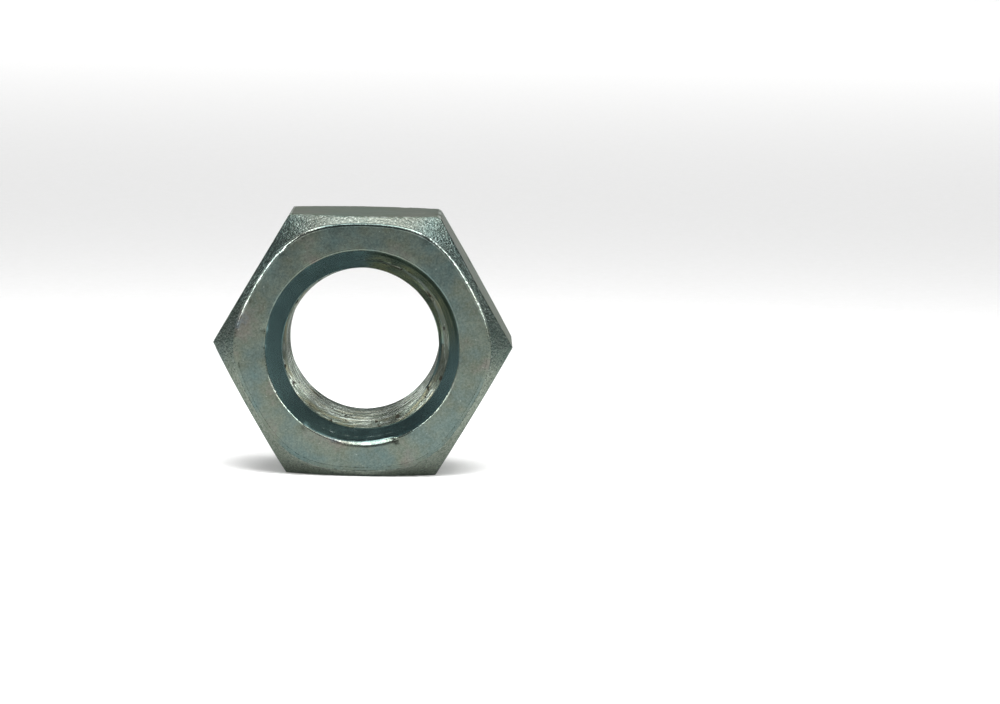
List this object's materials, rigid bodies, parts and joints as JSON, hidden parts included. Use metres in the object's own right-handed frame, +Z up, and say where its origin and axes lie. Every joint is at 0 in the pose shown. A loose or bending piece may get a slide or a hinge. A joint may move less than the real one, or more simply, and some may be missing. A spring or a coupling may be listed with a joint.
{
  "type": "hex nut",
  "caption": "Plain hexagonal nut with a threaded through hole, both faces chamfered and countersunk, in zinc-plated steel.",
  "frame": {"origin": "on the thread axis, in the plane of the back bearing face, which is the face that seats against the work", "axes": "+Y along the thread axis from the front face to the back face, +X across two corners, +Z up, square to the flat that the nut stands on"},
  "size_m": [0.0346, 0.017, 0.03],
  "materials": {
    "zinc_plated_steel": "satin zinc plating with a faint blue-green and straw tint, fine turning marks and light wear"
  },
  "bodies": {
    "root": {"nut_body": "zinc_plated_steel"}
  },
  "joints": []
}
